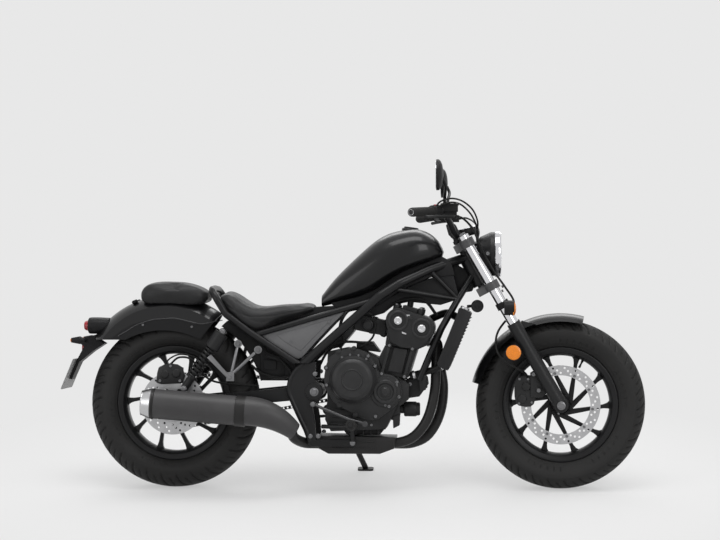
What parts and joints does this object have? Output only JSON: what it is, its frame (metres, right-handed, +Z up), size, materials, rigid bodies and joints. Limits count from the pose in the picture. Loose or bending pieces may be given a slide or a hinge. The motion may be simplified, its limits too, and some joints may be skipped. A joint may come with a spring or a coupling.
{
  "type": "cruiser motorcycle",
  "caption": "Low bobber style cruiser motorcycle in black, leaning on its side stand, with solo and passenger seats, spoked cast wheels and a round headlight.",
  "frame": {"origin": "centre of the bounding box's bottom, on the floor", "axes": "+X forward, +Y to the rider's left, +Z up; the motorcycle leans 9 degrees to its left on the side stand"},
  "size_m": [2.2273, 0.8418, 1.2722],
  "materials": {
    "gloss black paint": "gloss",
    "satin black metal": "satin",
    "black engine metal": "satin",
    "chrome": "polished",
    "polished steel": "polished",
    "dark steel": "satin",
    "tyre rubber": "matt",
    "soft rubber": "matt",
    "black plastic": "matt",
    "seat cover": "grained",
    "clear lens": "clear",
    "red lens": "clear",
    "amber lens": "clear",
    "plate aluminium": "matt"
  },
  "bodies": {
    "frame": {"headstock": "gloss black paint", "frame_main_tubes": "gloss black paint", "frame_down_tubes": "gloss black paint", "seat_rails": "satin black metal", "pivot_plates": "satin black metal", "swingarm": "satin black metal", "rear_axle": "chrome", "shock_absorbers": "satin black metal", "shock_springs": "dark steel", "crankcase": "black engine metal", "engine_covers": "black engine metal", "cylinder_block": "black engine metal", "cylinder_head": "black engine metal", "intake": "black plastic", "radiator": "black engine metal", "exhaust_pipes": "dark steel", "silencer": "satin black metal", "silencer_cap": "polished steel", "fuel_tank": "gloss black paint", "fuel_cap": "polished steel", "rider_seat": "seat cover", "pillion_seat": "seat cover", "rear_fender": "gloss black paint", "fender_valance": "black plastic", "tail_light": "red lens", "plate_bracket": "satin black metal", "number_plate": "plate aluminium", "rear_indicators": "amber lens", "side_covers": "black plastic", "battery_box": "black plastic", "footrests": "soft rubber", "foot_levers": "dark steel", "stand_bracket": "satin black metal", "rear_brake_caliper": "dark steel", "drive_chain": "dark steel"},
    "fork": {"steering_clamps": "satin black metal", "fork_stanchions": "chrome", "fork_sliders": "satin black metal", "front_axle": "chrome", "handlebar": "satin black metal", "handlebar_grips": "soft rubber", "handlebar_controls": "black plastic", "mirrors": "black plastic", "instrument": "black plastic", "headlight_bowl": "black plastic", "headlight_lens": "clear lens", "front_indicators": "amber lens", "front_fender": "satin black metal", "front_brake_caliper": "dark steel"},
    "front_wheel": {"front_tyre": "tyre rubber", "front_wheel_casting": "satin black metal", "front_brake_disc": "polished steel"},
    "rear_wheel": {"rear_tyre": "tyre rubber", "rear_wheel_casting": "satin black metal", "rear_brake_disc": "polished steel", "rear_sprocket": "polished steel"},
    "stand": {"side_stand": "satin black metal"}
  },
  "joints": [
    {"name": "steering", "type": "hinge", "parent": "frame", "child": "fork", "pos_m": [0.49969, -0.05011, 0.74763], "axis": [-0.4695, 0.1381, 0.8721], "range_deg": [-36, 36]},
    {"name": "front_wheel_axle", "type": "hinge", "parent": "fork", "child": "front_wheel", "pos_m": [0.79166, -0.118, 0.31897], "axis": [0, 0.9877, -0.1564], "continuous": true},
    {"name": "rear_wheel_axle", "type": "hinge", "parent": "frame", "child": "rear_wheel", "pos_m": [-0.68434, -0.11738, 0.32292], "axis": [0, 0.9877, -0.1564], "continuous": true},
    {"name": "side_stand_hinge", "type": "hinge", "parent": "frame", "child": "stand", "pos_m": [-0.01934, 0.02769, 0.15213], "axis": [0.0785, 0.8224, 0.5635], "range_deg": [0, 100]}
  ]
}
